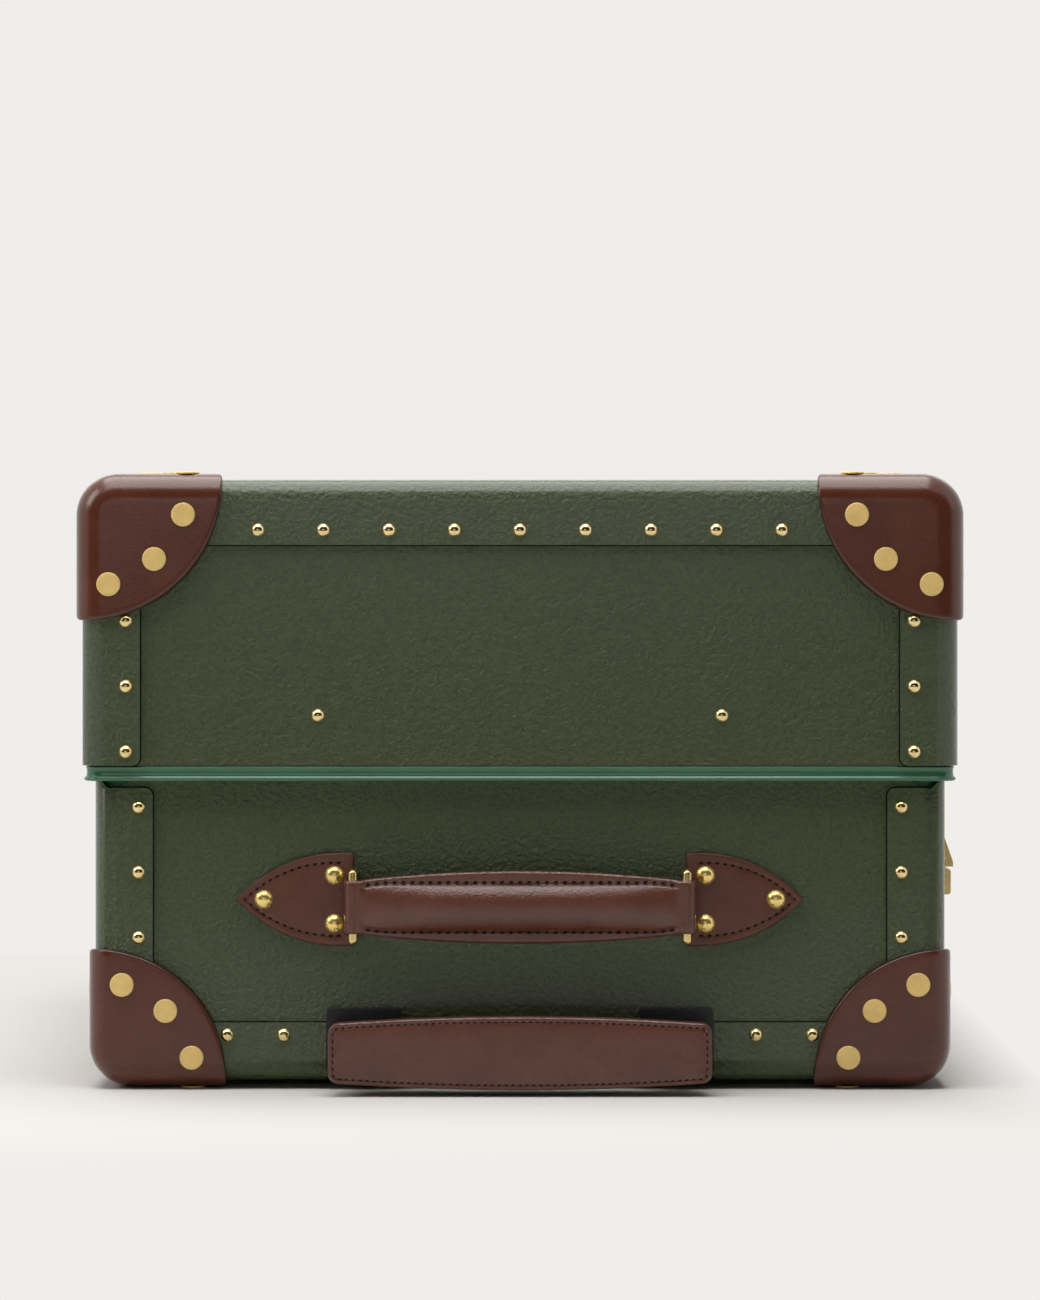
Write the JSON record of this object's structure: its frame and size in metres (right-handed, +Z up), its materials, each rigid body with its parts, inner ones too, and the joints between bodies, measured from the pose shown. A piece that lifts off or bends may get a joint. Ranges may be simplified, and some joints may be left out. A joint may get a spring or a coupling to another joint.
{
  "type": "spinner suitcase",
  "caption": "Fibreboard trolley case with a hinged lid, riveted leather corners, hasp latches, a stitched carry handle, a pull-out handle and swivelling wheels.",
  "frame": {"origin": "middle of the footprint, on the surface that the case lies on", "axes": "lying on its back panel: +X towards the latches, -Y towards the handle end, +Y towards the wheels, +Z up through the lid"},
  "size_m": [0.4504, 0.674, 0.3063],
  "materials": {
    "fibreboard": "satin",
    "rim_lacquer": "gloss",
    "lining_fabric": "matte",
    "leather": "satin",
    "brass": "polished",
    "black_plastic": "satin",
    "tube_aluminium": "satin",
    "steel": "satin",
    "wheel_rubber": "satin"
  },
  "bodies": {
    "base": {"base_shell": "fibreboard", "base_handle_end_panel": "fibreboard", "base_wheel_end_panel": "fibreboard", "base_rim": "rim_lacquer", "base_lining": "lining_fabric", "base_floor_board": "lining_fabric", "base_leather_corners": "leather", "base_foot_rivets": "brass", "base_corner_rivets": "brass", "base_panel_rivets": "brass", "handle_chape_left": "leather", "handle_chape_right": "leather", "chape_rivets": "brass", "trolley_bezels": "black_plastic", "trolley_outer_tubes": "tube_aluminium", "trolley_tube_feet": "black_plastic", "hinge_leaves_base": "brass", "hinge_pins": "brass", "latch_bodies": "brass", "packing_straps": "leather", "strap_buckles": "brass", "caster_mount_base_left": "black_plastic", "caster_mount_base_right": "black_plastic"},
    "lid": {"lid_shell": "fibreboard", "lid_handle_end_panel": "fibreboard", "lid_wheel_end_panel": "fibreboard", "lid_frame": "fibreboard", "lid_lining": "lining_fabric", "lid_leather_corners": "leather", "lid_corner_rivets": "brass", "lid_panel_rivets": "brass", "hinge_leaves_lid": "brass", "hasp_plates": "brass", "caster_mount_lid_left": "black_plastic", "caster_mount_lid_right": "black_plastic"},
    "hasp_front": {"hasp_front": "brass"},
    "hasp_rear": {"hasp_rear": "brass"},
    "bolt_front": {"bolt_front": "brass"},
    "bolt_rear": {"bolt_rear": "brass"},
    "ring_left": {"handle_ring_left": "brass"},
    "ring_right": {"handle_ring_right": "brass"},
    "carry_grip": {"carry_handle_grip": "leather"},
    "trolley_stage_1": {"trolley_middle_tubes": "tube_aluminium"},
    "trolley_stage_2": {"trolley_inner_tubes": "tube_aluminium", "trolley_lock_plugs": "black_plastic", "trolley_grip_core": "black_plastic", "trolley_grip_cover": "leather"},
    "trigger": {"trolley_trigger": "black_plastic", "trolley_push_rods": "steel"},
    "lock_pin_left": {"lock_pin_left": "steel"},
    "lock_pin_right": {"lock_pin_right": "steel"},
    "caster_base_left": {"caster_fork_base_left": "black_plastic"},
    "wheels_base_left": {"caster_wheels_base_left": "wheel_rubber"},
    "caster_base_right": {"caster_fork_base_right": "black_plastic"},
    "wheels_base_right": {"caster_wheels_base_right": "wheel_rubber"},
    "caster_lid_left": {"caster_fork_lid_left": "black_plastic"},
    "wheels_lid_left": {"caster_wheels_lid_left": "wheel_rubber"},
    "caster_lid_right": {"caster_fork_lid_right": "black_plastic"},
    "wheels_lid_right": {"caster_wheels_lid_right": "wheel_rubber"}
  },
  "joints": [
    {"name": "lid_hinge", "type": "hinge", "parent": "base", "child": "lid", "pos_m": [-0.2215, -0.013, 0.1604], "axis": [0, -1, 0], "range_deg": [0, 180]},
    {"name": "hasp_front_swing", "type": "hinge", "parent": "lid", "child": "hasp_front", "pos_m": [0.2215, -0.158, 0.1672], "axis": [0, -1, 0], "range_deg": [0, 110]},
    {"name": "bolt_front_slide", "type": "slide", "parent": "base", "child": "bolt_front", "axis": [0, -1, 0], "range_m": [0, 0.007]},
    {"name": "hasp_rear_swing", "type": "hinge", "parent": "lid", "child": "hasp_rear", "pos_m": [0.2215, 0.132, 0.1672], "axis": [0, -1, 0], "range_deg": [0, 110]},
    {"name": "bolt_rear_slide", "type": "slide", "parent": "base", "child": "bolt_rear", "axis": [0, -1, 0], "range_m": [0, 0.007]},
    {"name": "handle_ring_left_swing", "type": "hinge", "parent": "base", "child": "ring_left", "pos_m": [-0.0824, -0.2992, 0.0913], "axis": [0, 0, 1], "range_deg": [-45, 45]},
    {"name": "handle_ring_right_swing", "type": "hinge", "parent": "base", "child": "ring_right", "pos_m": [0.0824, -0.2992, 0.0913], "axis": [0, 0, 1], "range_deg": [-45, 45]},
    {"name": "carry_grip_swing", "type": "hinge", "parent": "ring_left", "child": "carry_grip", "pos_m": [-0.0824, -0.3122, 0.0913], "axis": [0, 0, 1], "range_deg": [-45, 45]},
    {"name": "trolley_stage_1_slide", "type": "slide", "parent": "base", "child": "trolley_stage_1", "axis": [0, -1, 0], "range_m": [0, 0.21]},
    {"name": "trolley_stage_2_slide", "type": "slide", "parent": "trolley_stage_1", "child": "trolley_stage_2", "axis": [0, -1, 0], "range_m": [0, 0.21]},
    {"name": "trigger_squeeze", "type": "slide", "parent": "trolley_stage_2", "child": "trigger", "axis": [0, -1, 0], "range_m": [0, 0.004], "stiffness_N_per_m": 600},
    {"name": "lock_pin_left_draw", "type": "slide", "parent": "trolley_stage_2", "child": "lock_pin_left", "axis": [1, 0, 0], "range_m": [0, 0.0025]},
    {"name": "lock_pin_right_draw", "type": "slide", "parent": "trolley_stage_2", "child": "lock_pin_right", "axis": [-1, 0, 0], "range_m": [0, 0.0025]},
    {"name": "caster_base_left_swivel", "type": "hinge", "parent": "base", "child": "caster_base_left", "pos_m": [-0.112, 0.29, 0.0632], "axis": [0, 1, 0], "continuous": true},
    {"name": "wheels_base_left_spin", "type": "hinge", "parent": "caster_base_left", "child": "wheels_base_left", "pos_m": [-0.112, 0.3145, 0.0452], "axis": [1, 0, 0], "continuous": true},
    {"name": "caster_base_right_swivel", "type": "hinge", "parent": "base", "child": "caster_base_right", "pos_m": [0.112, 0.29, 0.0632], "axis": [0, 1, 0], "continuous": true},
    {"name": "wheels_base_right_spin", "type": "hinge", "parent": "caster_base_right", "child": "wheels_base_right", "pos_m": [0.112, 0.3145, 0.0452], "axis": [1, 0, 0], "continuous": true},
    {"name": "caster_lid_left_swivel", "type": "hinge", "parent": "lid", "child": "caster_lid_left", "pos_m": [-0.112, 0.29, 0.2398], "axis": [0, 1, 0], "continuous": true},
    {"name": "wheels_lid_left_spin", "type": "hinge", "parent": "caster_lid_left", "child": "wheels_lid_left", "pos_m": [-0.112, 0.3145, 0.2218], "axis": [1, 0, 0], "continuous": true},
    {"name": "caster_lid_right_swivel", "type": "hinge", "parent": "lid", "child": "caster_lid_right", "pos_m": [0.112, 0.29, 0.2398], "axis": [0, 1, 0], "continuous": true},
    {"name": "wheels_lid_right_spin", "type": "hinge", "parent": "caster_lid_right", "child": "wheels_lid_right", "pos_m": [0.112, 0.3145, 0.2218], "axis": [1, 0, 0], "continuous": true}
  ],
  "couplings": [
    {"joint": "handle_ring_right_swing", "follows": "handle_ring_left_swing", "ratio": 1},
    {"joint": "carry_grip_swing", "follows": "handle_ring_left_swing", "ratio": -1},
    {"joint": "lock_pin_left_draw", "follows": "trigger_squeeze", "ratio": 0.625},
    {"joint": "lock_pin_right_draw", "follows": "trigger_squeeze", "ratio": 0.625}
  ]
}
